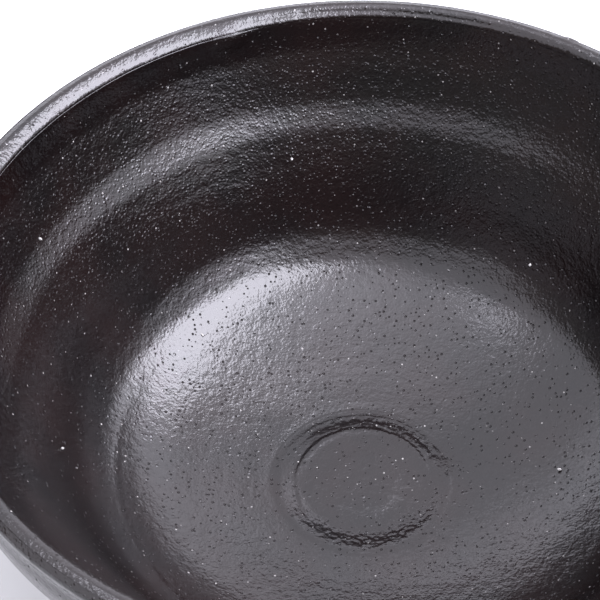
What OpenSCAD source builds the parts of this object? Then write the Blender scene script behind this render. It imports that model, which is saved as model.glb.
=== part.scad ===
// A hand-thrown stoneware tea bowl: a clay body on a joined foot ring, glazed inside and outside.
// The axis of the bowl is +Z and the foot stands on the plane Z = 0. All sizes are in millimetres.

/* [Bowl] */
// Outer diameter of the lip, over the glaze
rim_d = 125; // [115:0.5:135]
// Height from the table to the top of the lip
bowl_h = 60; // [57:0.5:66]
// Thickness of the rounded lip, over the glaze
lip_t = 3.2; // [2.6:0.1:4]
// Thickness of the wall halfway up, glaze included
wall_t = 5.2; // [4.4:0.1:6]

/* [Inside] */
// Height of the floor beside the tea pool, above the table
floor_h = 14.2; // [13.5:0.1:15]
// Diameter of the tea pool, the pressed well in the middle of the floor
pool_d = 22; // [18:0.5:26]
// Depth of the tea pool below the floor
pool_depth = 0.9; // [0.4:0.1:1.4]
// Diameter of the heel, where the floor turns up into the wall
heel_d = 78; // [74:0.5:82]
// Height of the heel above the table
heel_h = 22; // [20.5:0.25:23.5]

/* [Foot] */
// Outer diameter of the foot ring where it joins the body
foot_d = 54; // [48:0.5:58]
// Height of the foot ring
foot_h = 6.5; // [5.5:0.1:7.5]
// Width of the foot ring where it joins the body
foot_w = 6.6; // [6:0.1:8]

/* [Glaze] */
// Thickness of the glaze coats
glaze_t = 0.5; // [0.4:0.05:0.7]
// Height of the edge where the outer glaze stops, above the table
glaze_line_h = 12.5; // [11.5:0.1:14]
// Diameter of the largest white grains in the glaze
grain_d = 0.6; // [0.4:0.05:0.7]
// Number of large white grains on the inside
grain_count = 10; // [4:1:36]

/* [Hidden] */
$fn = 96;

curve_steps = 3;        // pieces drawn between two stations of a curve
lip_steps = 8;          // pieces in each quarter of the lip
grainless = 12;         // points below the lip that carry no grain
lip_r = lip_t / 2;
lip_centre = [rim_d / 2 - lip_r, bowl_h - lip_r];
pool_r = pool_d / 2;
pool_brow = [pool_r * 1.05, floor_h + 0.1];
heel_r = heel_d / 2;
heel = [heel_r, heel_h];
foot_r = foot_d / 2;
mouth_r = rim_d / 2 - lip_t;
wall_rise = lip_centre[1] - heel_h;
wall_run = mouth_r - heel_r;
foot_taper = 1.5;       // how far each side of the foot leans in towards its flat sole
golden_angle = 137.508;

// Slopes of the inside, in degrees, at even steps. The floor rises slowly and turns up at its end.
floor_slopes = [3, 6, 8, 10, 12, 13, 15, 16, 17, 19, 20, 22, 25, 31];
// The wall stands steepest low down, and leans out again where the throwing rings widen it.
wall_slopes = [41, 49, 55, 61, 65, 67, 66, 64, 62, 61, 59, 56, 54, 55, 58, 61, 63, 64, 65, 66, 72];

// A point of a uniform cubic B-spline between stations b and c.
function blend(a, b, c, d, t) =
    (pow(1 - t, 3) * a + (3 * t * t * t - 6 * t * t + 4) * b
    + (-3 * t * t * t + 3 * t * t + 3 * t + 1) * c + t * t * t * d) / 6;

// A smooth curve steered by stations, which starts and ends on its first and last one.
function curve(stations) =
    let (last = len(stations) - 1,
         p = concat([2 * stations[0] - stations[1]], stations,
                    [2 * stations[last] - stations[last - 1]]))
    concat([for (i = [0 : len(p) - 4]) for (k = [0 : curve_steps - 1])
        blend(p[i], p[i + 1], p[i + 2], p[i + 3], k / curve_steps)], [stations[last]]);

// An arc about a centre, from one angle to another.
function arc(centre, r, from, to) =
    [for (k = [0 : lip_steps]) let (a = from + (to - from) * k / lip_steps)
        centre + r * [cos(a), sin(a)]];

function reversed(points) = [for (i = [len(points) - 1 : -1 : 0]) points[i]];

// How far a climb has come after its first n steps, each one unit long.
function climbed(slopes, n) =
    n == 0 ? [0, 0] : climbed(slopes, n - 1) + [cos(slopes[n - 1]), sin(slopes[n - 1])];

// The climb from one point to another with those slopes, both ends left out.
function climb(from, to, slopes) =
    let (whole = climbed(slopes, len(slopes)), reach = to - from)
    [for (n = [1 : len(slopes) - 1]) let (part = climbed(slopes, n))
        from + [reach[0] * part[0] / whole[0], reach[1] * part[1] / whole[1]]];

// The left-hand normal of a line of points at point i.
function normal_at(points, i) =
    let (a = points[max(i - 1, 0)], b = points[min(i + 1, len(points) - 1)], d = b - a)
    [-d[1], d[0]] / norm(d);

// A line of points moved sideways to its left. An end on the axis stays on it.
function shifted(points, by) =
    [for (i = [0 : len(points) - 1]) let (q = points[i] + by * normal_at(points, i))
        [points[i][0] < 0.001 ? 0 : q[0], q[1]]];

// The inside of the bowl, from the middle of the pool to the side of the lip.
inside_stations = concat(
    [[0, floor_h - pool_depth],
     [pool_r * 0.3, floor_h - pool_depth],
     [pool_r * 0.6, floor_h - pool_depth],
     [pool_r * 0.78, floor_h - pool_depth * 0.75],
     [pool_r * 0.96, floor_h - pool_depth * 0.15],
     pool_brow],
    climb(pool_brow, heel, floor_slopes),
    [heel],
    climb(heel, [mouth_r, lip_centre[1]], wall_slopes),
    [[mouth_r, lip_centre[1]]]);

// The outside of the bowl, from the side of the lip down to the foot ring.
// A shallow groove under the lip comes first, then the wall swells and turns in.
outside_stations =
    [[rim_d / 2, lip_centre[1]],
     [rim_d / 2, lip_centre[1] - 1.2],
     [rim_d / 2 - 1, lip_centre[1] - 3.2],
     [rim_d / 2 - 0.6, lip_centre[1] - 5.5],
     [rim_d / 2 - 1.2, lip_centre[1] - 10],
     [heel_r + wall_run * 0.5 + wall_t * 1.05, heel_h + wall_rise * 0.42],
     [heel_r + wall_t * 1.3, heel_h + 1.5],
     [heel_r - 1, heel_h - 9.5],
     [foot_r + 3.5, foot_h + 2.2],
     [foot_r, foot_h]];

inside_skin = curve(inside_stations);
outside_skin = curve(outside_stations);

// The glaze meets itself at the crest of the lip. Both coats follow the clay underneath.
inside_face = concat(inside_skin, arc(lip_centre, lip_r, 180, 90));
outside_face = concat(arc(lip_centre, lip_r, 90, 0), outside_skin);
inside_clay = concat(shifted(inside_skin, -glaze_t), arc(lip_centre, lip_r - glaze_t, 180, 90));
outside_clay = concat(arc(lip_centre, lip_r - glaze_t, 90, 0), shifted(outside_skin, -glaze_t));

// Pairs of outside face and clay points, kept while the clay is above the glaze line.
glazed = [for (i = [0 : len(outside_clay) - 1]) if (outside_clay[i][1] > glaze_line_h) i];

module turned(outline) {
    rotate_extrude() polygon(outline);
}

// The thrown clay, with the glaze left off.
module clay_body() {
    color("#4a3b34") turned(concat(
        inside_clay,
        [for (i = [1 : len(outside_clay) - 2]) outside_clay[i]],
        [[foot_r, foot_h], [0, foot_h]]));
}

// The foot ring, joined to the underside of the body.
module foot_ring() {
    color("#54443b") turned([
        [foot_r - foot_w, foot_h],
        [foot_r - foot_w + foot_taper, 0],
        [foot_r - foot_taper, 0],
        [foot_r, foot_h]]);
}

module inner_glaze() {
    color("#1c181a") difference() {
        turned(concat(inside_face, reversed(inside_clay)));
        grains();
    }
}

module outer_glaze() {
    color("#201c1d") turned(concat(
        [for (i = glazed) outside_face[i]],
        reversed([for (i = glazed) outside_clay[i]])));
}

// White grains half sunk in the inner glaze, spread by the golden angle.
module grains() {
    for (k = [0 : grain_count - 1]) {
        at = inside_skin[round((len(inside_skin) - grainless) * sqrt((k + 2) / (grain_count + 3)))];
        rotate(k * golden_angle) translate([at[0], 0, at[1]]) sphere(d = grain_d);
    }
}

module feldspar_grains() {
    color("#d8d4cc") grains();
}

clay_body();
foot_ring();
inner_glaze();
outer_glaze();
feldspar_grains();
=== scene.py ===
"""A hand-thrown stoneware tea bowl under satin black iron glaze, finished around its CAD frame.

Every length is in metres, in the frame's own axes: +Z is the axis that the bowl was turned on,
and the table is the plane Z = 0. A place on the bowl is given by its distance from the axis
("radius"), its height, and its azimuth: 0 is away from the viewer (+Y), positive to the right (+X).
"""

import logging
import math
from dataclasses import dataclass, field
from enum import Enum
from typing import Callable

import bmesh
import bpy
from mathutils import Matrix, Vector, noise


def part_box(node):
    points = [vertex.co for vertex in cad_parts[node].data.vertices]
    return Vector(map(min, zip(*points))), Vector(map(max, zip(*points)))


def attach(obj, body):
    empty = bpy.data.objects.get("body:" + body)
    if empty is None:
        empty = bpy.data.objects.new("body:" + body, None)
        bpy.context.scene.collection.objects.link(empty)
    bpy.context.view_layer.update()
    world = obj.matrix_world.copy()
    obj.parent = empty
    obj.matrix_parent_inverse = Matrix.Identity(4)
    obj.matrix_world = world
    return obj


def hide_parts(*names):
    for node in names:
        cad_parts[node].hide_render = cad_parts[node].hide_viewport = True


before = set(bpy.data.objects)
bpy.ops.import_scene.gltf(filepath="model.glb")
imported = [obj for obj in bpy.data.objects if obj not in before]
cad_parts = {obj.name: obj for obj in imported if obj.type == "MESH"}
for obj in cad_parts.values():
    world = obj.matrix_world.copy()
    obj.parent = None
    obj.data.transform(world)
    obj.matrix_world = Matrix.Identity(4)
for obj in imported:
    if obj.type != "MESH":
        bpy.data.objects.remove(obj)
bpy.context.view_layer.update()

LOG = logging.getLogger("tea_bowl")
MM = 0.001
TURN = 2 * math.pi
SECTORS = 15
SHARP_FOLD = math.radians(55)
DETAIL = 1
TOUCHING = 1e-6  # Points closer than this are one point.
HAIR = 0.01 * MM  # The give when two heights or two radii are compared.
CREST_FADE = 0.6 * MM  # Relief fades out this close to the crest, so that the two coats meet.


def smooth_step(low: float, high: float, value: float) -> float:
    """Returns 0 below low, 1 above high and an even blend between them.

    Args:
        low: The value where the blend starts.
        high: The value where the blend ends.
        value: The value to place between them.

    Returns:
        The share of the way from low to high, eased at both ends.
    """
    share = min(max((value - low) / (high - low), 0.0), 1.0)
    return share * share * (3 - 2 * share)


def bell(centre: float, width: float, value: float) -> float:
    """Returns a smooth hump: 1 at the centre, fading out over about twice the width."""
    return math.exp(-(((value - centre) / width) ** 2))


def azimuth_of(place: Vector) -> float:
    """Returns a place's azimuth in degrees, from -180 to 180, with 0 along +Y."""
    return math.degrees(math.atan2(place.x, place.y))


def angle_between(first: float, second: float) -> float:
    """Returns the smaller angle between two azimuths, in degrees."""
    return abs((first - second + 180) % 360 - 180)


def uneven(place: Vector, height: float, size: float) -> float:
    """Returns a smooth random height at a place, for lumps of that height and size."""
    return height * noise.noise(place / size)


# ---------------------------------------------------------------------------------------------
# Outlines: half sections of the bowl, as points with a radius in X and a height in Z.


def length_of(points: list[Vector]) -> float:
    """Returns the length of a line of points."""
    return sum((end - start).length for start, end in zip(points, points[1:]))


def rounded(points: list[Vector]) -> list[Vector]:
    """Rounds a line of points into a smooth curve that passes through them.

    Args:
        points: The points that the curve passes through.

    Returns:
        The curve's points, eight for each stretch.
    """
    ends = [2 * points[0] - points[1], *points, 2 * points[-1] - points[-2]]
    curve, pieces = [], 8
    for before, start, end, after in zip(ends, ends[1:], ends[2:], ends[3:]):
        for step in range(pieces):
            t = step / pieces
            bend = 2 * before - 5 * start + 4 * end - after
            twist = 3 * start - before - 3 * end + after
            curve.append(0.5 * (2 * start + (end - before) * t + bend * t * t + twist * t**3))
    return curve + [points[-1].copy()]


def spaced(points: list[Vector], spacing: Callable[[float], float]) -> list[Vector]:
    """Walks along a line of points and sets down new ones.

    Args:
        points: The line to walk along.
        spacing: Gives the wanted step at a distance along the line.

    Returns:
        The new points, with the first and last one kept.
    """
    lengths = [0.0]
    for start, end in zip(points, points[1:]):
        lengths.append(lengths[-1] + (end - start).length)
    stops = [0.0]
    while stops[-1] < lengths[-1]:
        stops.append(stops[-1] + spacing(stops[-1]))
    stretch = lengths[-1] / stops[-1]
    result, at = [], 0
    for stop in stops[:-1]:
        while lengths[at + 1] < stop * stretch:
            at += 1
        share = (stop * stretch - lengths[at]) / max(lengths[at + 1] - lengths[at], 1e-9)
        result.append(points[at].lerp(points[at + 1], share))
    return result + [points[-1].copy()]


def offset_line(points: list[Vector], by: float) -> list[Vector]:
    """Moves a line of points sideways to its left, and keeps points on the axis on it.

    Args:
        points: The line to move.
        by: How far to move it. A negative value moves it to its right.

    Returns:
        The moved points.
    """
    moved = []
    for index, point in enumerate(points):
        along = points[min(index + 1, len(points) - 1)] - points[max(index - 1, 0)]
        side = Vector((-along.z, 0, along.x)).normalized() * by
        on_axis = point.x < TOUCHING
        moved.append(Vector((0.0 if on_axis else point.x + side.x, 0, point.z + side.z)))
    return moved


@dataclass
class ClaySection:
    """The half section of the thrown clay, read from its CAD node.

    Attributes:
        node: The CAD node's name.
        inside: The line from the axis over the floor and up the wall to the crest of the lip.
        outside: The line from the crest down to the edge of the glaze.
        below: The line from the edge of the glaze to the foot ring and in to the axis.
    """

    node: str = "clay_body"
    inside: list[Vector] = field(default_factory=list)
    outside: list[Vector] = field(default_factory=list)
    below: list[Vector] = field(default_factory=list)

    def read(self) -> "ClaySection":
        """Sorts the node's rings into the inside, the outside and the bare underside.

        Returns:
            The section itself, filled in.
        """
        mesh = bmesh.new()
        mesh.from_mesh(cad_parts[self.node].data)
        bmesh.ops.remove_doubles(mesh, verts=mesh.verts, dist=TOUCHING)
        facing_up: dict[tuple[float, float], bool] = {}
        for vert in mesh.verts:
            radius = math.hypot(vert.co.x, vert.co.y)
            outward = vert.normal.dot(Vector((vert.co.x, vert.co.y, 0)).normalized())
            facing_up[(round(radius, 6), round(vert.co.z, 6))] = vert.normal.z > outward
        mesh.free()
        crest = max(facing_up, key=lambda ring: (ring[1], -ring[0]))
        glaze_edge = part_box("outer_glaze")[0].z + 0.05 * MM
        within = crest[0] + TOUCHING
        inner = sorted((r for r, up in facing_up.items() if up and r[0] <= within), key=sum)
        outer = sorted((r for r in facing_up if r not in inner), key=sum, reverse=True)
        self.inside = [Vector((r, 0, z)) for r, z in inner]
        self.inside[0].x = 0.0
        self.outside = [Vector((r, 0, z)) for r, z in outer if z >= glaze_edge]
        self.below = [Vector((r, 0, z)) for r, z in outer if z < glaze_edge]
        return self


def spun(
    name: str, outline: list[Vector], steps: int, is_closed: bool
) -> tuple[bmesh.types.BMesh, object]:
    """Turns an outline round the axis with the spin operator.

    Args:
        name: What is made, for the log.
        outline: The outline's points, with the dressed face first.
        steps: How many steps the full turn takes.
        is_closed: Whether the last point joins the first one.

    Returns:
        The mesh, and the vertex layer that holds each point's distance along the outline.
    """
    mesh = bmesh.new()
    along = mesh.verts.layers.float.new("along")
    verts, travelled = [], 0.0
    for index, point in enumerate(outline):
        if index:
            travelled += (point - outline[index - 1]).length
        vert = mesh.verts.new(point)
        vert[along] = travelled
        verts.append(vert)
    edges = [mesh.edges.new(pair) for pair in zip(verts, verts[1:])]
    if is_closed and (outline[0] - outline[-1]).length > TOUCHING and outline[0].x > TOUCHING:
        edges.append(mesh.edges.new((verts[-1], verts[0])))
    arc = TURN / SECTORS
    bmesh.ops.spin(
        mesh, geom=verts + edges, cent=(0, 0, 0), axis=(0, 0, 1), angle=arc, steps=steps // SECTORS
    )
    bmesh.ops.spin(
        mesh,
        geom=mesh.verts[:] + mesh.edges[:] + mesh.faces[:],
        cent=(0, 0, 0),
        axis=(0, 0, 1),
        angle=TURN - arc,
        steps=SECTORS - 1,
        use_duplicate=True,
    )
    bmesh.ops.remove_doubles(mesh, verts=mesh.verts, dist=1e-7)
    bmesh.ops.recalc_face_normals(mesh, faces=mesh.faces)
    if mesh.calc_volume(signed=True) < 0:
        bmesh.ops.reverse_faces(mesh, faces=mesh.faces)
    for edge in mesh.edges:
        edge.smooth = edge.calc_face_angle(0.0) < SHARP_FOLD
    LOG.info("spun %s: %d faces", name, len(mesh.faces))
    return mesh, along


# ---------------------------------------------------------------------------------------------
# The hand of the potter: how the thrown form strays from a true turned one.


@dataclass(frozen=True)
class ThrownForm:
    """The slow wobble of a bowl that was thrown by hand, shared by clay and glaze.

    Attributes:
        oval: How far the lip is from round, at its widest.
        three_lobed: How far a faint three-lobed wobble moves the lip.
        lip_rise: How far the lip's height strays from level.
        rest_height: The height below which the form stays true, so that it stands flat.
        full_height: The height at which the wobble is full.
    """

    oval: float = 0.22 * MM
    three_lobed: float = 0.12 * MM
    lip_rise: float = 0.25 * MM
    rest_height: float = 8 * MM
    full_height: float = 60 * MM

    def warped(self, place: Vector) -> Vector:
        """Moves a place on the true form to where the thrown one has it.

        Args:
            place: A place on the true form.

        Returns:
            The same place on the thrown form.
        """
        share = smooth_step(self.rest_height, self.full_height, place.z)
        radius = math.hypot(place.x, place.y)
        if radius < 1e-9:
            return place.copy()
        angle = math.atan2(place.y, place.x)
        stray = self.oval * math.cos(2 * angle + 0.7) + self.three_lobed * math.cos(3 * angle + 2.1)
        rise = self.lip_rise * (0.6 * math.cos(angle + 1.9) + 0.4 * math.cos(3 * angle + 0.4))
        scale = 1 + share * stray / radius
        return Vector((place.x * scale, place.y * scale, place.z + share * rise))


FORM = ThrownForm()


def coat_thickness(node: str) -> float:
    """Returns how thick a glaze coat is, from the heights of its own lip and the clay's."""
    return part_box(node)[1].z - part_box("clay_body")[1].z


def finished_piece(
    name: str,
    mesh: bmesh.types.BMesh,
    material: bpy.types.Material,
    node: str,
) -> bpy.types.Object:
    """Makes the object of a finished mesh, dresses it and ties it to the frame.

    Args:
        name: The piece's name.
        mesh: The finished mesh, which is freed.
        material: The finish that it wears.
        node: The CAD node that it stands for.

    Returns:
        The new object.
    """
    data = bpy.data.meshes.new(name)
    mesh.to_mesh(data)
    mesh.free()
    for face in data.polygons:
        face.use_smooth = True
    data.materials.append(material)
    piece = bpy.data.objects.new(name, data)
    bpy.context.scene.collection.objects.link(piece)
    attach(piece, "root")
    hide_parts(node)
    return piece


# ---------------------------------------------------------------------------------------------
# Shader building blocks.


class Shader:
    """A small hand for wiring shader nodes in a material or a node group."""

    def __init__(self, tree: bpy.types.NodeTree) -> None:
        """Keeps the node tree that is worked on."""
        self.tree = tree

    def node(self, kind: str, inputs: dict | None = None, **settings: object) -> bpy.types.Node:
        """Adds a node, sets its options and fills or links its inputs.

        Args:
            kind: The node's type, such as "ShaderNodeMath".
            inputs: Input names or numbers, each with a value or the socket to link.
            **settings: The node's own options.

        Returns:
            The new node.
        """
        node = self.tree.nodes.new(kind)
        for name, value in settings.items():
            setattr(node, name, value)
        for name, value in (inputs or {}).items():
            self.feed(node.inputs[name], value)
        return node

    def feed(self, socket: bpy.types.NodeSocket, value: object) -> None:
        """Links a socket to another one, or sets its value."""
        if isinstance(value, bpy.types.NodeSocket):
            self.tree.links.new(value, socket)
        elif value is not None:
            socket.default_value = value

    def math(self, operation: str, first: object, second: object = None) -> bpy.types.NodeSocket:
        """Adds a Math node and returns its output."""
        node = self.node("ShaderNodeMath", operation=operation)
        for socket, value in zip(node.inputs, (first, second)):
            self.feed(socket, value)
        return node.outputs[0]

    def blend(self, share: object, first: object, second: object) -> bpy.types.NodeSocket:
        """Mixes two colours by a share and returns the mixed colour."""
        node = self.node("ShaderNodeMix", data_type="RGBA")
        self.feed(node.inputs[0], share)
        self.feed(node.inputs[6], first)
        self.feed(node.inputs[7], second)
        return node.outputs[2]

    def ramp(
        self, value: object, low: object, high: object, to_low: float = 0.0, to_high: float = 1.0
    ) -> bpy.types.NodeSocket:
        """Eases a value from one range to another and returns the result."""
        inputs = {"Value": value, "From Min": low, "From Max": high, "To Min": to_low, "To Max": to_high}
        return self.node("ShaderNodeMapRange", inputs, interpolation_type="SMOOTHSTEP").outputs[0]

    def noise(self, place: object, scale: object, detail: float) -> bpy.types.NodeSocket:
        """Adds a Noise texture and returns its height."""
        inputs = {"Vector": place, "Scale": scale, "Detail": detail}
        return self.node("ShaderNodeTexNoise", inputs).outputs[0]


def new_group(
    name: str, inputs: dict[str, float | None], outputs: tuple[str, ...]
) -> tuple[Shader, dict, bpy.types.Node]:
    """Starts a shader node group.

    Args:
        name: The group's name.
        inputs: Each input's name and default value. None makes a vector input.
        outputs: The names of the value outputs.

    Returns:
        The hand that wires it, its inputs by name, and its output node.
    """
    tree = bpy.data.node_groups.new(name, "ShaderNodeTree")
    for label, value in inputs.items():
        kind = "NodeSocketVector" if value is None else "NodeSocketFloat"
        socket = tree.interface.new_socket(label, in_out="INPUT", socket_type=kind)
        if value is not None:
            socket.default_value = value
    for label in outputs:
        tree.interface.new_socket(label, in_out="OUTPUT", socket_type="NodeSocketFloat")
    shader = Shader(tree)
    source = shader.node("NodeGroupInput")
    return shader, {label: source.outputs[label] for label in inputs}, shader.node("NodeGroupOutput")


class Effect(Enum):
    """The surface effects that several finishes share, by the name of their node group."""

    GRAINS = "scattered grains"
    LINES = "throwing lines"
    SKIN = "rippled skin"
    CLOUDS = "soft clouds"


def build_grains_group() -> None:
    """Builds scattered round spots of mixed size: white grains with painted glints, pinholes or grog."""
    shader, given, out = new_group(
        Effect.GRAINS.value,
        {"Vector": None, "Spacing": 1.0 * MM, "Size": 0.25, "Share": 0.5},
        ("Mask", "Dome", "Chance"),
    )
    cells = shader.node(
        "ShaderNodeTexVoronoi",
        {"Vector": given["Vector"], "Scale": shader.math("DIVIDE", 1.0, given["Spacing"])},
        feature="F1",
    )
    draws = shader.node("ShaderNodeSeparateColor", {0: cells.outputs["Color"]})
    chosen = shader.math("LESS_THAN", draws.outputs[0], given["Share"])
    reach = shader.math("MULTIPLY", given["Size"], shader.ramp(draws.outputs[1], 0.0, 1.0, 0.45, 1.0))
    inside = shader.math("DIVIDE", cells.outputs["Distance"], reach)
    mask = shader.math("MULTIPLY", shader.ramp(inside, 1.0, 0.55), chosen)
    square = shader.math("MULTIPLY", inside, inside)
    bulge = shader.math("MAXIMUM", shader.math("SUBTRACT", 1.0, square), 0.0)
    shader.feed(out.inputs["Mask"], mask)
    shader.feed(out.inputs["Dome"], shader.math("MULTIPLY", bulge, chosen))
    shader.feed(out.inputs["Chance"], draws.outputs[2])


def build_lines_group() -> None:
    """Builds the fine rings that fingers and ribs leave in spinning clay."""
    shader, given, out = new_group(
        Effect.LINES.value,
        {"Vector": None, "Spacing": 1.0 * MM, "Wander": 0.6 * MM},
        ("Height",),
    )
    x, y, z = shader.node("ShaderNodeSeparateXYZ", {0: given["Vector"]}).outputs
    squares = shader.math("ADD", shader.math("MULTIPLY", x, x), shader.math("MULTIPLY", y, y))
    climb = shader.math("ADD", shader.math("SQRT", squares), z)
    drift = shader.noise(given["Vector"], 60.0, 1.0)
    sway = shader.math("MULTIPLY", shader.math("SUBTRACT", drift, 0.5), given["Wander"])
    path = shader.math("DIVIDE", shader.math("ADD", climb, sway), given["Spacing"])
    rings = shader.node(
        "ShaderNodeTexNoise",
        {"W": path, "Scale": 1.0, "Detail": 3.0, "Roughness": 0.6},
        noise_dimensions="1D",
    )
    fade = shader.ramp(shader.noise(given["Vector"], 90.0, 2.0), 0.35, 0.65, 0.35, 1.0)
    shader.feed(out.inputs["Height"], shader.math("MULTIPLY", rings.outputs[0], fade))


def build_skin_group() -> None:
    """Builds the orange peel of a satin glaze: broad ripples under a finer tooth."""
    shader, given, out = new_group(
        Effect.SKIN.value,
        {"Vector": None, "Ripple": 1.4 * MM, "Tooth": 0.5 * MM, "Tooth share": 0.5},
        ("Height",),
    )
    ripple = shader.noise(given["Vector"], shader.math("DIVIDE", 1.0, given["Ripple"]), 1.0)
    tooth = shader.noise(given["Vector"], shader.math("DIVIDE", 1.0, given["Tooth"]), 1.0)
    fine = shader.math("MULTIPLY", tooth, given["Tooth share"])
    shader.feed(out.inputs["Height"], shader.math("ADD", ripple, fine))


def build_clouds_group() -> None:
    """Builds a slow change from place to place, for colour and gloss."""
    shader, given, out = new_group(
        Effect.CLOUDS.value,
        {"Vector": None, "Size": 12 * MM, "Contrast": 0.25},
        ("Share",),
    )
    cloud = shader.noise(given["Vector"], shader.math("DIVIDE", 1.0, given["Size"]), 3.0)
    low = shader.math("SUBTRACT", 0.5, given["Contrast"])
    high = shader.math("ADD", 0.5, given["Contrast"])
    shader.feed(out.inputs["Share"], shader.ramp(cloud, low, high))


class Finish:
    """The parts that every finish shares: a material, a shader hand and the effects."""

    def __init__(self, name: str) -> None:
        """Starts an empty material of that name."""
        self.material = bpy.data.materials.new(name)
        self.material.use_nodes = True
        self.material.node_tree.nodes.clear()
        self.shader = Shader(self.material.node_tree)
        self.place = self.shader.node("ShaderNodeTexCoord").outputs["Object"]

    def effect(self, kind: Effect, **values: object) -> bpy.types.Node:
        """Places a shared effect in the material.

        Args:
            kind: Which effect.
            **values: Its inputs, with spaces in their names written as underscores.

        Returns:
            The group node.
        """
        node = self.shader.node("ShaderNodeGroup", node_tree=bpy.data.node_groups[kind.value])
        self.shader.feed(node.inputs["Vector"], self.place)
        for name, value in values.items():
            self.shader.feed(node.inputs[name.replace("_", " ")], value)
        return node

    def relief(self, *layers: tuple[object, float]) -> bpy.types.NodeSocket:
        """Adds up height layers, each with its depth in metres, and returns the bumped normal."""
        total = None
        for height, depth in layers:
            part = self.shader.math("MULTIPLY", height, depth)
            total = part if total is None else self.shader.math("ADD", total, part)
        bump = self.shader.node("ShaderNodeBump", {"Height": total, "Strength": 1.0, "Distance": 1.0})
        return bump.outputs[0]

    def finish(self, color: object, roughness: object, normal: object) -> bpy.types.Material:
        """Feeds the Principled shader and returns the finished material.

        Args:
            color: The base colour, as a socket or a value.
            roughness: The roughness, as a socket or a value.
            normal: The bumped normal, or None for a smooth face.

        Returns:
            The material.
        """
        inputs = {"Base Color": color, "Roughness": roughness, "Normal": normal}
        surface = self.shader.node("ShaderNodeBsdfPrincipled", inputs)
        self.shader.node("ShaderNodeOutputMaterial", {"Surface": surface.outputs[0]})
        return self.material


@dataclass(frozen=True)
class BlackGlaze:
    """Satin black iron glaze with pinholes, pimples, half-melted white grains and painted glints.

    Attributes:
        name: The material's name.
        dark: The blacker of its two colours.
        warm: The browner one, which drifts in as slow clouds.
        speck_and_glint: The colour of its light spots: partly real white grains, partly painted glints.
        roughness: How satin the gloss is.
        pinhole_roughness: How matt it is inside a pinhole.
        speck_and_glint_share: The share of cells that hold a light spot of white grain and painted glint.
        thick_height: The height up to which the glaze ran together thickly and pinholed.
        thin_height: The height above which it is thin and the clay's grains stand out.
        wiped_height: The height above which the lip was wiped and is smoother.
        lip_height: The height above which it is smoothest.
        ripple_depth: The depth of the orange peel.
        ripple_gain: How many times deeper it is on the thick glaze and on the thin glaze.
        line_depth: The depth of the throwing lines.
        pimple_depth: The height of the pimples over buried grains.
        pinhole_depth: The depth of the pinholes.
    """

    name: str
    dark: tuple[float, float, float, float] = (0.0014, 0.0008, 0.0009, 1)
    warm: tuple[float, float, float, float] = (0.0042, 0.0016, 0.0015, 1)
    speck_and_glint: tuple[float, float, float, float] = (0.22, 0.21, 0.20, 1)
    roughness: float = 0.21
    pinhole_roughness: float = 0.8
    speck_and_glint_share: float = 0.5
    thick_height: float = 22 * MM
    thin_height: float = 36 * MM
    wiped_height: float = 52 * MM
    lip_height: float = 57 * MM
    ripple_depth: float = 0.036 * MM
    ripple_gain: tuple[float, float] = (1.9, 2.4)
    line_depth: float = 0.015 * MM
    pimple_depth: float = 0.045 * MM
    pinhole_depth: float = 0.17 * MM

    def material(self) -> bpy.types.Material:
        """Builds the glaze's material."""
        made = Finish(self.name)
        shader = made.shader
        height = shader.node("ShaderNodeSeparateXYZ", {0: made.place}).outputs[2]
        thin = shader.ramp(height, self.thick_height, self.thin_height)
        clouds = made.effect(Effect.CLOUDS, Size=14 * MM)
        swarms = made.effect(Effect.CLOUDS, Size=7 * MM, Contrast=0.2)
        skin = made.effect(Effect.SKIN, Ripple=1.2 * MM, Tooth=0.4 * MM, Tooth_share=0.65)
        lines = made.effect(Effect.LINES, Spacing=1.1 * MM)
        specks_and_glints = made.effect(Effect.GRAINS, Spacing=0.95 * MM, Size=0.2, Share=self.speck_and_glint_share)
        wiped = shader.ramp(height, self.wiped_height, self.lip_height, 1.0, 0.45)
        grainy = shader.math("MULTIPLY", shader.ramp(thin, 0.0, 1.0, 0.12, 0.95), wiped)
        pimples = made.effect(Effect.GRAINS, Spacing=0.64 * MM, Size=0.43, Share=grainy)
        swarming = shader.ramp(swarms.outputs["Share"], 0.0, 1.0, 0.55, 1.0)
        pitted = shader.math("MULTIPLY", swarming, shader.ramp(thin, 0.0, 1.0, 0.95, 0.2))
        pinholes = made.effect(Effect.GRAINS, Spacing=0.86 * MM, Size=0.27, Share=pitted)
        ground = shader.blend(clouds.outputs["Share"], self.dark, self.warm)
        # Light spots in the base colour: partly real white grains, partly painted glints.
        rarely = shader.math("POWER", specks_and_glints.outputs["Chance"], 3.0)
        color = shader.blend(shader.math("MULTIPLY", specks_and_glints.outputs["Mask"], rarely), ground, self.speck_and_glint)
        pits = pinholes.outputs["Mask"]
        roughness = shader.ramp(pits, 0.0, 1.0, self.roughness, self.pinhole_roughness)
        gain = shader.ramp(thin, 0.0, 1.0, *self.ripple_gain)
        leathery = shader.math("MULTIPLY", skin.outputs["Height"], gain)
        normal = made.relief(
            (leathery, self.ripple_depth),
            (lines.outputs["Height"], self.line_depth),
            (pimples.outputs["Dome"], self.pimple_depth),
            (pinholes.outputs["Dome"], -self.pinhole_depth),
        )
        return made.finish(color, roughness, normal)


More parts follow.
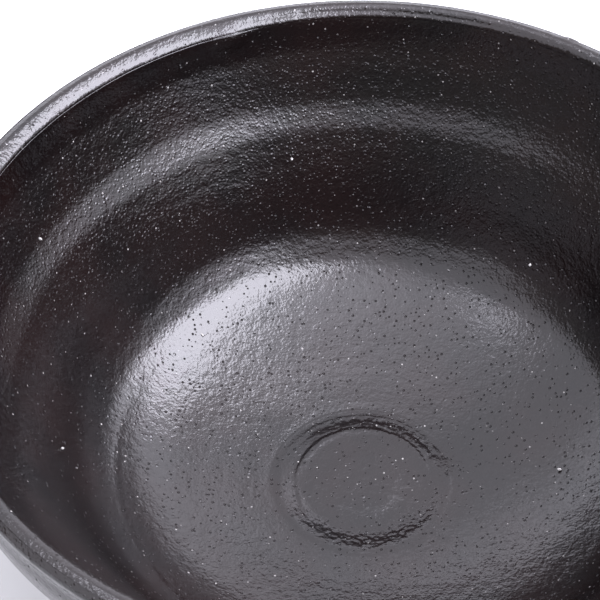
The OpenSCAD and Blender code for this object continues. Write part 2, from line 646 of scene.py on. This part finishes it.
@dataclass(frozen=True)
class BareClay:
    """Bare iron-bearing stoneware with grog and turning lines.

    Attributes:
        name: The material's name.
        toasted: The main colour.
        pale: The colour of drier, paler patches.
        grog: The colour of the coarse grains.
        roughness: How matt it is.
        line_depth: The depth of the turning lines.
        skin_depth: The depth of its gritty skin.
        grog_depth: How far the coarse grains stand out.
    """

    name: str
    toasted: tuple[float, float, float, float] = (0.105, 0.062, 0.045, 1)
    pale: tuple[float, float, float, float] = (0.185, 0.125, 0.095, 1)
    grog: tuple[float, float, float, float] = (0.36, 0.29, 0.23, 1)
    roughness: float = 0.82
    line_depth: float = 0.09 * MM
    skin_depth: float = 0.08 * MM
    grog_depth: float = 0.06 * MM

    def material(self) -> bpy.types.Material:
        """Builds the clay's material."""
        made = Finish(self.name)
        shader = made.shader
        clouds = made.effect(Effect.CLOUDS, Size=9 * MM)
        skin = made.effect(Effect.SKIN, Ripple=0.9 * MM, Tooth=0.3 * MM, Tooth_share=0.8)
        lines = made.effect(Effect.LINES, Spacing=0.9 * MM, Wander=0.2 * MM)
        grog = made.effect(Effect.GRAINS, Spacing=1.2 * MM, Size=0.3, Share=0.4)
        ground = shader.blend(clouds.outputs["Share"], self.toasted, self.pale)
        color = shader.blend(shader.math("MULTIPLY", grog.outputs["Mask"], 0.7), ground, self.grog)
        normal = made.relief(
            (skin.outputs["Height"], self.skin_depth),
            (lines.outputs["Height"], self.line_depth),
            (grog.outputs["Dome"], self.grog_depth),
        )
        return made.finish(color, self.roughness, normal)


@dataclass(frozen=True)
class WhiteFeldspar:
    """Half-melted white feldspar.

    Attributes:
        name: The material's name.
        color: The main colour.
        shade: The colour of its darker patches.
        roughness: How glossy it is.
        skin_depth: The depth of its uneven skin.
    """

    name: str = "half melted feldspar"
    color: tuple[float, float, float, float] = (0.32, 0.31, 0.30, 1)
    shade: tuple[float, float, float, float] = (0.20, 0.19, 0.18, 1)
    roughness: float = 0.35
    skin_depth: float = 0.02 * MM

    def material(self) -> bpy.types.Material:
        """Builds the feldspar's material."""
        made = Finish(self.name)
        clouds = made.effect(Effect.CLOUDS, Size=0.4 * MM)
        color = made.shader.blend(clouds.outputs["Share"], self.color, self.shade)
        skin = made.effect(Effect.SKIN, Ripple=0.3 * MM, Tooth=0.1 * MM)
        return made.finish(color, self.roughness, made.relief((skin.outputs["Height"], self.skin_depth)))


# ---------------------------------------------------------------------------------------------
# The pieces.


@dataclass(frozen=True)
class ThrowingRing:
    """One ridge or hollow that a finger left as the clay spun.

    Attributes:
        along: Its distance from the axis along the inside.
        width: Its width.
        height: How far it stands out. A hollow is negative.
        centre: The azimuth where it is strongest, in degrees.
        reach: How far it runs each way from there, in degrees. 360 is all round.
    """

    along: float
    width: float
    height: float
    centre: float = 0
    reach: float = 360

    def height_at(self, along: float, azimuth: float) -> float:
        """Returns the ring's height at a distance along the inside and an azimuth."""
        fade = 1 - smooth_step(0.4, 1.0, angle_between(azimuth, self.centre) / self.reach)
        return self.height * fade * bell(self.along, self.width, along)


@dataclass(frozen=True)
class ToolCut:
    """One cut that a pressing tool left round the tea pool: a steep flank and a slow recovery.

    Attributes:
        start: The radius where the flank starts to drop.
        flank: The width of the flank.
        depth: The depth at its foot.
        recovery: The width over which the floor comes back up.
        centre: The azimuth where the cut is deepest, in degrees.
        reach: How far it runs each way from there, in degrees.
    """

    start: float
    flank: float
    depth: float
    recovery: float
    centre: float
    reach: float

    def height_at(self, radius: float, azimuth: float) -> float:
        """Returns the cut's height, which is never positive, at a radius and an azimuth."""
        foot = self.start + self.flank
        drop = smooth_step(self.start, foot, radius) * (1 - smooth_step(foot, foot + self.recovery, radius))
        fade = 1 - smooth_step(0.55, 1.0, angle_between(azimuth, self.centre) / self.reach)
        return -self.depth * drop * fade


@dataclass(frozen=True)
class TornPatch:
    """A patch where the tool dragged at the drying clay and left it lumpy.

    Attributes:
        radius: The radius of its middle.
        width: Its width.
        centre: The azimuth of its middle, in degrees.
        reach: How far it runs each way from there, in degrees.
        height: How high its lumps stand.
        grain: The size of a lump.
    """

    radius: float
    width: float
    centre: float
    reach: float
    height: float
    grain: float

    def height_at(self, place: Vector, radius: float, azimuth: float) -> float:
        """Returns the height of the torn clay at a place with that radius and azimuth."""
        fade = 1 - smooth_step(0.35, 1.0, angle_between(azimuth, self.centre) / self.reach)
        strength = fade * bell(self.radius, self.width, radius)
        if strength < 0.01:
            return 0.0
        return self.height * strength * noise.turbulence(place / self.grain, 3, False)


@dataclass(frozen=True)
class TeaPool:
    """The pressed well in the middle of the floor, tilted so that its far edge stands proud.

    Attributes:
        far_depth: How deep the well is on its far side.
        near_depth: How deep it is on its near side.
        tilt: How far in front of the axis it starts and stops getting deeper.
        slope: The radii where the well's own slope starts and ends.
        brow: The radii between which the well's own shape fades into the floor.
        reach: The radius beyond which the floor is untouched.
        cuts: The cuts round its far side.
        rings: The rings that the last touch left in it.
        patches: The torn patches.
        wander: How far the cuts stray from true circles.
        wander_size: The size of the bends in them.
    """

    far_depth: float = 0.12 * MM
    near_depth: float = 1.0 * MM
    tilt: tuple[float, float] = (-9 * MM, 11 * MM)
    slope: tuple[float, float] = (8.8 * MM, 13.4 * MM)
    brow: tuple[float, float] = (13.4 * MM, 14.4 * MM)
    reach: float = 26 * MM
    cuts: tuple[ToolCut, ...] = (
        ToolCut(10.3 * MM, 0.6 * MM, 0.17 * MM, 7.0 * MM, centre=-22, reach=125),
        ToolCut(10.8 * MM, 2.4 * MM, 0.36 * MM, 12.0 * MM, centre=12, reach=75),
        ToolCut(12.0 * MM, 0.25 * MM, 0.045 * MM, 1.2 * MM, centre=4, reach=80),
        ToolCut(13.3 * MM, 0.22 * MM, 0.05 * MM, 1.4 * MM, centre=5, reach=85),
        ToolCut(14.4 * MM, 0.22 * MM, 0.045 * MM, 1.4 * MM, centre=-30, reach=80),
    )
    rings: tuple[ThrowingRing, ...] = (
        ThrowingRing(4.6 * MM, 1.0 * MM, 0.045 * MM),
        ThrowingRing(6.6 * MM, 1.1 * MM, -0.036 * MM),
        ThrowingRing(10.0 * MM, 0.65 * MM, 0.12 * MM, centre=-32, reach=60),
    )
    patches: tuple[TornPatch, ...] = (
        TornPatch(11.2 * MM, 1.8 * MM, 165, 80, 0.13 * MM, 0.7 * MM),
        TornPatch(6.5 * MM, 2.4 * MM, 135, 65, 0.09 * MM, 1.0 * MM),
        TornPatch(12.2 * MM, 1.4 * MM, 18, 75, 0.12 * MM, 0.7 * MM),
        TornPatch(10.7 * MM, 0.7 * MM, -40, 125, 0.07 * MM, 0.6 * MM),
    )
    wander: float = 0.16 * MM
    wander_size: float = 3.5 * MM

    def height_at(self, place: Vector, floor: float) -> float:
        """Returns how far the pool's own shape moves the floor up.

        Args:
            place: A place on the true form.
            floor: The height of the floor round the pool.

        Returns:
            The move along +Z.
        """
        radius, azimuth = math.hypot(place.x, place.y), azimuth_of(place)
        if radius > self.reach:
            return 0.0
        nearness = smooth_step(*self.tilt, -place.y)
        depth = self.far_depth + (self.near_depth - self.far_depth) * nearness
        sunk = depth * (1 - smooth_step(*self.slope, radius))
        height = (floor - sunk - place.z) * (1 - smooth_step(*self.brow, radius))
        strayed = radius + uneven(place, self.wander, self.wander_size)
        height += sum(cut.height_at(strayed, azimuth) for cut in self.cuts)
        height += sum(ring.height_at(strayed, azimuth) for ring in self.rings)
        return height + sum(patch.height_at(place, radius, azimuth) for patch in self.patches)


@dataclass(frozen=True)
class LipRoll:
    """The bevel that the last wipe pushed over to the inside of the lip, with a drip below it.

    Attributes:
        start: How far below the crest it starts to stand out.
        shoulder: How far below the crest it stands out most.
        foot: How far below the crest it has faded into the wall.
        swell: How far it stands out at its shoulder.
        centre: The azimuth where it is strongest, in degrees.
        reach: How far it runs each way from there, in degrees.
        drip: How far the drip stands out.
        drip_azimuth: The azimuth of the drip, in degrees.
        drip_below: How far below the crest its middle is.
        drip_size: Its half width in degrees and its half height.
    """

    start: float = 0.75 * MM
    shoulder: float = 2.25 * MM
    foot: float = 8.0 * MM
    swell: float = 0.68 * MM
    centre: float = -62
    reach: float = 80
    drip: float = 0.5 * MM
    drip_azimuth: float = -22.5
    drip_below: float = 3.6 * MM
    drip_size: tuple[float, float] = (2.6, 2.2 * MM)

    def height_at(self, below: float, azimuth: float) -> float:
        """Returns how far the roll stands out at a distance below the crest and an azimuth."""
        fade = 1 - smooth_step(0.35, 1.0, angle_between(azimuth, self.centre) / self.reach)
        rise = min(max((below - self.start) / (self.shoulder - self.start), 0.0), 1.0)
        rolled = self.swell * fade * rise**2 * (1 - smooth_step(self.shoulder, self.foot, below))
        across = bell(0, self.drip_size[0], angle_between(azimuth, self.drip_azimuth))
        return rolled + self.drip * across * bell(self.drip_below, self.drip_size[1], below)


@dataclass
class InnerGlazeCoat:
    """The glaze inside: floor, tea pool, wall and the inner half of the lip.

    Attributes:
        section: The clay that it covers.
        pool: The well in the floor.
        rings: The ridges and hollows that fingers left, by their distance along the inside.
        lip_rings: Those near the lip, by their distance below the crest.
        lip_roll: The bevel inside the lip.
        slow_lumps: The height and the size of its slow unevenness.
        fine_lumps: The height and the size of its finer unevenness.
        open_spacing: The distance between points on the open floor and wall.
        pool_spacing: The distance between points round the pool's edge.
        pool_zone: The distances between which that spacing holds.
        lip_spacing: The distance between points over the lip.
        lip_zone: How far below the crest that spacing holds.
        back_spacing: The distance between points of the hidden face.
        steps: The steps of the full turn.
    """

    section: ClaySection
    pool: TeaPool = TeaPool()
    rings: tuple[ThrowingRing, ...] = (
        ThrowingRing(39.5 * MM, 2.8 * MM, 0.4 * MM, centre=-112, reach=80),
        ThrowingRing(38.4 * MM, 0.4 * MM, -0.05 * MM, centre=-120, reach=50),
        ThrowingRing(39.4 * MM, 0.45 * MM, 0.05 * MM, centre=-120, reach=60),
        ThrowingRing(38.5 * MM, 4.6 * MM, 0.35 * MM, centre=112, reach=105),
        ThrowingRing(31.5 * MM, 5.0 * MM, -0.3 * MM, centre=-115, reach=75),
        ThrowingRing(43.6 * MM, 2.0 * MM, 0.12 * MM, centre=-20, reach=120),
        ThrowingRing(57.4 * MM, 1.0 * MM, 0.02 * MM),
        ThrowingRing(60.6 * MM, 1.1 * MM, 0.035 * MM, centre=-30, reach=200),
        ThrowingRing(63.8 * MM, 1.8 * MM, 0.12 * MM, centre=-45, reach=95),
        ThrowingRing(68.4 * MM, 1.8 * MM, -0.12 * MM, centre=-45, reach=95),
        ThrowingRing(73.5 * MM, 1.4 * MM, 0.03 * MM),
        ThrowingRing(77.0 * MM, 1.2 * MM, -0.03 * MM),
    )
    lip_rings: tuple[ThrowingRing, ...] = (
        ThrowingRing(3.6 * MM, 1.8 * MM, 0.12 * MM),
        ThrowingRing(1.55 * MM, 0.38 * MM, -0.14 * MM, centre=0, reach=28),
        ThrowingRing(1.3 * MM, 0.7 * MM, -0.1 * MM, centre=24, reach=45),
    )
    lip_roll: LipRoll = LipRoll()
    slow_lumps: tuple[float, float] = (0.05 * MM, 11 * MM)
    fine_lumps: tuple[float, float] = (0.022 * MM, 3 * MM)
    open_spacing: float = 0.5 * MM
    pool_spacing: float = 0.15 * MM
    pool_zone: tuple[float, float] = (8.8 * MM, 15.2 * MM)
    lip_spacing: float = 0.14 * MM
    lip_zone: float = 4.0 * MM
    back_spacing: float = 4 * MM
    steps: int = 375

    def spacing(self, at: float, whole: float) -> float:
        """Returns the wanted distance between points at a distance along the inside."""
        if self.pool_zone[0] < at < self.pool_zone[1]:
            return DETAIL * self.pool_spacing
        return DETAIL * (self.lip_spacing if at > whole - self.lip_zone else self.open_spacing)

    def relief(self, place: Vector, along: float, whole: float) -> float:
        """Returns how far the glossy face stands out at a place, apart from the pool.

        Args:
            place: The place on the true form.
            along: Its distance from the axis along the outline.
            whole: The whole length of the glossy face.

        Returns:
            The height, positive out of the glaze.
        """
        azimuth = azimuth_of(place)
        height = sum(ring.height_at(along, azimuth) for ring in self.rings)
        height += sum(ring.height_at(whole - along, azimuth) for ring in self.lip_rings)
        height += self.lip_roll.height_at(whole - along, azimuth)
        height += uneven(place, *self.slow_lumps)
        return height + uneven(place, *self.fine_lumps)

    def settled(self, place: Vector) -> Vector:
        """Moves a place on the true inner face to where the finished face has it.

        Args:
            place: The place on the true form.

        Returns:
            The same place on the finished face, before the form's slow wobble.
        """
        line = offset_line(rounded(self.section.inside), coat_thickness("inner_glaze"))
        flat = Vector((math.hypot(place.x, place.y), 0, place.z))
        nearest = min(range(1, len(line) - 1), key=lambda i: (line[i] - flat).length)
        along, whole = length_of(line[:nearest + 1]), length_of(line)
        uphill = (line[nearest + 1] - line[nearest - 1]).normalized()
        outward = Vector((place.x, place.y, 0)).normalized()
        normal = Vector((0, 0, uphill.x)) - outward * uphill.z
        floor = next(point.z for point in line if point.x > self.pool.brow[1])
        lift = Vector((0, 0, self.pool.height_at(place, floor)))
        return place + normal * self.relief(place, along, whole) + lift

    def build(self) -> bpy.types.Object:
        """Builds and dresses the coat."""
        curve = rounded(self.section.inside)
        whole = length_of(curve)
        thickness = coat_thickness("inner_glaze")
        clay = spaced(curve, lambda at: self.spacing(at, whole))
        front = offset_line(clay, thickness)
        front[-1] = clay[-1] + Vector((0, 0, thickness))
        back = spaced(clay, lambda at: self.back_spacing)
        front_length = length_of(front)
        floor = next(point.z for point in front if point.x > self.pool.brow[1])
        mesh, along = spun("inner glaze", front + back[::-1], self.steps // DETAIL, is_closed=False)
        mesh.normal_update()
        for vert in mesh.verts:
            place = vert.co.copy()
            if vert[along] <= front_length + TOUCHING:
                fade = smooth_step(0.0, CREST_FADE, front_length - vert[along])
                vert.co += vert.normal * self.relief(place, vert[along], front_length) * fade
                vert.co.z += self.pool.height_at(place, floor)
            vert.co = FORM.warped(vert.co)
        finish = BlackGlaze("black glaze inside").material()
        return finished_piece("inner_glaze_coat", mesh, finish, "inner_glaze")


@dataclass
class OuterGlazeCoat:
    """The glaze outside, from the crest of the lip to its rolled edge above the foot.

    Attributes:
        section: The clay that it covers.
        open_spacing: The distance between points on the wall.
        end_spacing: The distance between points over the lip and at the lower edge.
        end_zone: How far from each end that spacing holds.
        back_spacing: The distance between points of the hidden face.
        roll: How far the lower edge swells, where the melt gathered.
        roll_width: The width of that swelling.
        wave: How far the lower edge wanders up and down.
        wave_zone: How far above the edge the glaze follows that wander.
        ring_height: The height of the throwing rings.
        ring_gap: The distance from one throwing ring to the next.
        ring_sway: How far the rings lean from level.
        ring_zone: The distances below the crest between which the rings set in.
        slow_lumps: The height and the size of the slow unevenness.
        slow_zone: How far below the crest that unevenness is full.
        bevel: The swelling under the near side of the lip, by its distance below the crest.
        bump: The small lump on the far right of the lip, by its distance below the crest.
        steps: The steps of the full turn.
    """

    section: ClaySection
    open_spacing: float = 0.6 * MM
    end_spacing: float = 0.16 * MM
    end_zone: float = 3 * MM
    back_spacing: float = 4 * MM
    roll: float = 0.3 * MM
    roll_width: float = 0.9 * MM
    wave: float = 0.9 * MM
    wave_zone: float = 7 * MM
    ring_height: float = 0.09 * MM
    ring_gap: float = 6.3 * MM
    ring_sway: float = 0.6 * MM
    ring_zone: tuple[float, float] = (5 * MM, 12 * MM)
    slow_lumps: tuple[float, float] = (0.07 * MM, 13 * MM)
    slow_zone: float = 3 * MM
    bevel: ThrowingRing = ThrowingRing(3.4 * MM, 1.5 * MM, 0.5 * MM, centre=-152, reach=62)
    bump: ThrowingRing = ThrowingRing(1.1 * MM, 0.7 * MM, 0.28 * MM, centre=30.6, reach=1.6)
    steps: int = 480

    def spacing(self, at: float, whole: float) -> float:
        """Returns the wanted distance between points at a distance from the crest."""
        is_end = at < self.end_zone or at > whole - self.end_zone
        return DETAIL * (self.end_spacing if is_end else self.open_spacing)

    def relief(self, place: Vector, along: float, to_edge: float) -> float:
        """Returns how far the glossy face stands out at a place.

        Args:
            place: The place on the true form.
            along: Its distance from the crest of the lip.
            to_edge: Its distance from the lower edge.

        Returns:
            The height, positive out of the glaze.
        """
        azimuth = azimuth_of(place)
        path = (along + self.ring_sway * math.sin(math.radians(azimuth) + 1)) / self.ring_gap
        rings = self.ring_height * math.sin(TURN * path) * smooth_step(*self.ring_zone, along)
        rolled = self.roll * bell(self.roll_width, self.roll_width, to_edge)
        slow = uneven(place, *self.slow_lumps) * smooth_step(0.0, self.slow_zone, along)
        lumps = self.bevel.height_at(along, azimuth) + self.bump.height_at(along, azimuth)
        return rings + rolled + slow + lumps

    def wander(self, azimuth: float) -> float:
        """Returns how far the lower edge lies below its mean line at an azimuth in radians."""
        return self.wave * (0.6 * math.sin(2 * azimuth + 0.5) + 0.4 * math.sin(5 * azimuth + 2))

    def build(self) -> bpy.types.Object:
        """Builds and dresses the coat."""
        curve = rounded([self.section.inside[-1], *self.section.outside])
        whole = length_of(curve)
        thickness = coat_thickness("outer_glaze")
        clay = spaced(curve, lambda at: self.spacing(at, whole))
        front = offset_line(clay, thickness)
        front[0] = clay[0] + Vector((0, 0, thickness))
        back = spaced(clay, lambda at: self.back_spacing)
        front_length = length_of(front)
        downhill = (front[-1] - front[-4]).normalized()
        mesh, along = spun("outer glaze", front + back[::-1], self.steps // DETAIL, is_closed=True)
        mesh.normal_update()
        for vert in mesh.verts:
            place = vert.co.copy()
            to_edge = abs(front_length - vert[along])
            if vert[along] <= front_length + TOUCHING:
                height = self.relief(place, vert[along], to_edge)
                vert.co += vert.normal * height * smooth_step(0, CREST_FADE, vert[along])
            follows = 1 - smooth_step(0.0, self.wave_zone, to_edge)
            shift = self.wander(math.atan2(place.x, place.y)) * follows
            around = Vector((place.x, place.y, 0)).normalized()
            vert.co += (around * downhill.x + Vector((0, 0, downhill.z))) * shift
            vert.co = FORM.warped(vert.co)
        finish = BlackGlaze("black glaze outside").material()
        return finished_piece("outer_glaze_coat", mesh, finish, "outer_glaze")


@dataclass
class ThrownClay:
    """The clay under the glaze, which shows round the foot and under the bowl.

    Attributes:
        section: The clay's own outline.
        hidden_spacing: The distance between points under the glaze.
        bare_spacing: The distance between points of the bare clay.
        nub: The height of the button that trimming left under the bowl.
        nub_width: Its width.
        spiral: The depth of the trimming spiral under the bowl.
        spiral_zone: The radii between which the spiral sets in.
        spiral_gap: The distance from one turn of the spiral to the next.
        recess_ease: How far inside the foot ring the trimming fades out.
        steps: The steps of the full turn.
    """

    section: ClaySection
    hidden_spacing: float = 2 * MM
    bare_spacing: float = 0.5 * MM
    nub: float = 0.35 * MM
    nub_width: float = 3 * MM
    spiral: float = 0.12 * MM
    spiral_zone: tuple[float, float] = (1 * MM, 4 * MM)
    spiral_gap: float = 2.4 * MM
    recess_ease: float = 3 * MM
    steps: int = 240

    def trimmed(self, place: Vector, recess: float) -> float:
        """Returns how far trimming moved a place on the underside down.

        Args:
            place: The place on the true form.
            recess: The radius of the recess inside the foot ring.

        Returns:
            The move along -Z, which fades out before the foot ring.
        """
        radius = math.hypot(place.x, place.y)
        turn = math.sin(TURN * radius / self.spiral_gap + math.atan2(place.y, place.x))
        marks = self.spiral * turn * smooth_step(*self.spiral_zone, radius)
        fade = 1 - smooth_step(recess - self.recess_ease, recess, radius)
        return (marks + self.nub * bell(0, self.nub_width, radius)) * fade

    def build(self) -> bpy.types.Object:
        """Builds and dresses the clay."""
        inside = spaced(self.section.inside, lambda at: self.hidden_spacing)
        outside = [self.section.inside[-1], *self.section.outside, self.section.below[0]]
        hidden = spaced(outside, lambda at: self.hidden_spacing)
        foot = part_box("foot_ring")[1]
        bare = [point for point in self.section.below if point.x >= foot.x - HAIR]
        wall = spaced(rounded(bare), lambda at: self.bare_spacing)
        underside = spaced([wall[-1], Vector((0, 0, wall[-1].z))], lambda at: self.bare_spacing)
        outline = inside + hidden[1:] + wall[1:] + underside[1:]
        mesh, _ = spun("clay", outline, self.steps, is_closed=False)
        recess = foot.x - FootRing.width
        for vert in mesh.verts:
            is_under = abs(vert.co.z - wall[-1].z) < HAIR
            vert.co.z -= self.trimmed(vert.co, recess) if is_under else 0.0
            vert.co = FORM.warped(vert.co)
        finish = BareClay("bare clay body").material()
        return finished_piece("thrown_clay_body", mesh, finish, "clay_body")


@dataclass
class FootRing:
    """The turned foot ring, with eased edges and a flat sole.

    Attributes:
        width: Its width where it joins the body.
        easing: How far each edge of the sole is rounded off.
        point_spacing: The distance between points of its outline.
        chatter: How far the trimming tool left its sides uneven.
        chatter_size: The height of one such mark.
        sole_clear: The heights between which the marks set in above the sole.
        top_clear: How far below its top they fade out.
        steps: The steps of the full turn.
    """

    width: float = 6.6 * MM
    easing: float = 0.7 * MM
    point_spacing: float = 0.3 * MM
    chatter: float = 0.06 * MM
    chatter_size: float = 0.8 * MM
    sole_clear: tuple[float, float] = (0.8 * MM, 2.5 * MM)
    top_clear: float = 1.5 * MM
    steps: int = 300

    def eased(self, before: Vector, corner: Vector, after: Vector) -> list[Vector]:
        """Rounds off a corner of the outline.

        Args:
            before: The point before the corner.
            corner: The corner.
            after: The point after it.

        Returns:
            The points of the rounded corner.
        """
        start = corner + (before - corner).normalized() * self.easing
        end = corner + (after - corner).normalized() * self.easing
        shares = [step / 6 for step in range(7)]
        return [start.lerp(corner, share).lerp(corner.lerp(end, share), share) for share in shares]

    def build(self) -> bpy.types.Object:
        """Builds and dresses the ring."""
        low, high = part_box("foot_ring")
        places = [vert.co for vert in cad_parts["foot_ring"].data.vertices]
        sole = sorted({round(math.hypot(at.x, at.y), 6) for at in places if at.z < TOUCHING})
        corners = [
            Vector((high.x - self.width, 0, high.z)),
            Vector((sole[0], 0, low.z)),
            Vector((sole[-1], 0, low.z)),
            Vector((high.x, 0, high.z)),
        ]
        line = [corners[0], *self.eased(*corners[:3]), *self.eased(*corners[1:]), corners[3]]
        outline = spaced(line, lambda at: self.point_spacing)
        mesh, _ = spun("foot ring", outline, self.steps, is_closed=True)
        mesh.normal_update()
        for vert in mesh.verts:
            under_top = 1 - smooth_step(high.z - self.top_clear, high.z, vert.co.z)
            on_side = smooth_step(*self.sole_clear, vert.co.z) * under_top
            mark = noise.noise(Vector((0, 0, vert.co.z / self.chatter_size)))
            vert.co += vert.normal * (self.chatter * on_side * mark)
        finish = BareClay("bare clay foot", line_depth=0.12 * MM).material()
        return finished_piece("turned_foot_ring", mesh, finish, "foot_ring")


@dataclass
class WhiteGrains:
    """The largest white grains, half sunk in the inner glaze where the CAD has them.

    Attributes:
        coat: The glaze that holds them.
        radius: The radius that a grain starts from.
        turn: How far each grain is turned about the vertical from the one before, in radians.
        tip: How far a grain may be tipped over, in radians.
        stretch: How long, how wide and how high a grain is, as shares of its starting radius.
        lumpiness: How uneven a grain is, as a share of its radius.
        roundness: How many times a grain's faces are divided.
    """

    coat: InnerGlazeCoat
    radius: float = 0.3 * MM
    turn: float = 2.4
    tip: float = 0.5
    stretch: tuple[float, float, float] = (1.15, 0.72, 0.7)
    lumpiness: float = 0.3
    roundness: int = 3

    def places(self) -> list[Vector]:
        """Returns the middle of each grain's CAD solid."""
        mesh = bmesh.new()
        mesh.from_mesh(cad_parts["feldspar_grains"].data)
        bmesh.ops.remove_doubles(mesh, verts=mesh.verts, dist=TOUCHING)
        found, left = [], set(mesh.verts)
        while left:
            grain, edge = set(), {left.pop()}
            while edge:
                grain |= edge
                edge = {other.other_vert(vert) for vert in edge for other in vert.link_edges} - grain
            left -= grain
            points = sorted((vert.co.copy() for vert in grain), key=tuple)
            found.append(sum(points, Vector()) / len(points))
        mesh.free()
        return sorted(found, key=lambda place: place.length)

    def build(self) -> bpy.types.Object:
        """Builds and dresses the grains."""
        grains = bmesh.new()
        for number, place in enumerate(self.places()):
            tipped = Matrix.Rotation(self.tip * math.sin(number), 4, "X")
            turned = Matrix.Rotation(self.turn * number, 4, "Z") @ tipped
            sized = Matrix.Diagonal((*self.stretch, 1))
            middle = self.coat.settled(place)
            made = bmesh.ops.create_icosphere(grains, subdivisions=self.roundness, radius=self.radius)
            for vert in made["verts"]:
                lump = 1 + self.lumpiness * noise.noise(vert.co / self.radius + Vector((number, 0, 0)))
                vert.co = FORM.warped(middle + turned @ sized @ (vert.co * lump))
        return finished_piece(
            "white_feldspar_grains", grains, WhiteFeldspar().material(), "feldspar_grains"
        )


# ---------------------------------------------------------------------------------------------
# The studio.


@dataclass(frozen=True)
class Softbox:
    """A square light that faces the bowl.

    Attributes:
        name: The light's name.
        azimuth: The direction in which it stands, in degrees.
        elevation: How high it stands above the lip's plane, in degrees.
        distance: How far it stands from the middle of the lip.
        width: Its width.
        height: Its height.
        radiance: How bright its face is, where white is 1.
        tint: Its colour.
    """

    name: str
    azimuth: float
    elevation: float
    distance: float
    width: float
    height: float
    radiance: float
    tint: tuple[float, float, float] = (1.0, 0.99, 1.12)

    def build(self, target: Vector) -> None:
        """Hangs the light, aimed at the target.

        Args:
            target: The point that it faces.
        """
        light = bpy.data.lights.new(self.name, "AREA")
        light.shape = "RECTANGLE"
        light.size, light.size_y = self.width, self.height
        light.energy = self.radiance * math.pi * self.width * self.height
        light.color = self.tint
        lamp = bpy.data.objects.new(self.name, light)
        across, up = math.radians(self.azimuth), math.radians(self.elevation)
        away = Vector((math.sin(across) * math.cos(up), math.cos(across) * math.cos(up), math.sin(up)))
        lamp.location = target + away * self.distance
        lamp.rotation_euler = (-away).to_track_quat("-Z", "Y").to_euler()
        bpy.context.scene.collection.objects.link(lamp)


@dataclass(frozen=True)
class ViewCamera:
    """The camera, placed from the middle of the lip.

    Attributes:
        lip_height: The height of the lip's middle plane.
        in_front: How far it stands in front of the axis.
        above_lip: How far it stands above the lip.
        pitch: How far it looks down, in degrees.
        pan: How far it is turned to the left, in degrees.
        roll: How far it leans, in degrees.
        lens: The focal length, in millimetres.
    """

    lip_height: float = 58.4 * MM
    in_front: float = 187.76 * MM
    above_lip: float = 207.19 * MM
    pitch: float = 48.06
    pan: float = 2.849
    roll: float = -1.042
    lens: float = 120

    def build(self) -> None:
        """Sets up the camera and makes it the scene's own."""
        data = bpy.data.cameras.new("view camera")
        data.lens = self.lens
        data.clip_start = 0.01
        camera = bpy.data.objects.new("view camera", data)
        camera.matrix_world = (
            Matrix.Translation(Vector((0, -self.in_front, self.lip_height + self.above_lip)))
            @ Matrix.Rotation(math.radians(self.pan), 4, "Z")
            @ Matrix.Rotation(math.radians(90 - self.pitch), 4, "X")
            @ Matrix.Rotation(math.radians(self.roll), 4, "Z")
        )
        bpy.context.scene.collection.objects.link(camera)
        bpy.context.scene.camera = camera


@dataclass
class Studio:
    """The pale floor, the lights and the camera."""

    floor_size: float = 3.0
    floor_color: tuple[float, float, float, float] = (0.45, 0.45, 0.445, 1)
    surround: float = 0.32
    lights: tuple[Softbox, ...] = (
        Softbox("ceiling softbox", 0, 90, 1.0, 3.2, 3.2, 1.95),
        Softbox("overhead softbox", 0, 90, 1.05, 0.8, 0.8, 1.0),
        Softbox("small overhead softbox", 0, 90, 1.1, 0.4, 0.4, 1.0),
        Softbox("back softbox", -20, 16, 1.5, 3.2, 1.2, 2.2),
        Softbox("right back softbox", 38, 38, 1.3, 0.9, 0.5, 1.6),
        Softbox("upper window softbox", 112, 76, 1.15, 1.5, 0.5, 1.1),
        Softbox("window softbox", 102, 55.5, 1.2, 1.32, 0.7, 14.5),
        Softbox("low window softbox", 100, 30, 1.25, 2.0, 0.75, 2.4),
        Softbox("small lamp", -88, 65, 1.0, 0.12, 0.12, 16),
    )

    def build(self) -> None:
        """Builds the whole studio."""
        self.lay_floor()
        world = bpy.data.worlds.new("studio surround")
        world.use_nodes = True
        world.node_tree.nodes["Background"].inputs[0].default_value = (self.surround,) * 3 + (1,)
        bpy.context.scene.world = world
        bpy.context.scene.view_settings.view_transform = "Standard"
        lip = Vector((0, 0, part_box("clay_body")[1].z))
        for light in self.lights:
            light.build(lip)
        ViewCamera().build()

    def lay_floor(self) -> None:
        """Lays the pale floor that the bowl stands on."""
        mesh = bmesh.new()
        bmesh.ops.create_grid(mesh, x_segments=1, y_segments=1, size=self.floor_size / 2)
        data = bpy.data.meshes.new("pale_floor")
        mesh.to_mesh(data)
        mesh.free()
        made = Finish("pale floor")
        data.materials.append(made.finish(self.floor_color, 0.6, None))
        floor = bpy.data.objects.new("pale_floor", data)
        bpy.context.scene.collection.objects.link(floor)


def main() -> None:
    """Builds the bowl's pieces and the studio in order, and reports each one."""
    logging.basicConfig(level=logging.INFO, format="%(name)s: %(message)s")
    for build in (build_grains_group, build_lines_group, build_skin_group, build_clouds_group):
        build()
    section = ClaySection().read()
    inner = InnerGlazeCoat(section)
    for assembly in (inner, OuterGlazeCoat(section), ThrownClay(section), FootRing(), WhiteGrains(inner)):
        piece = assembly.build()
        LOG.info("built %s: %d faces", piece.name, len(piece.data.polygons))
    Studio().build()


if __name__ == "__main__":
    main()
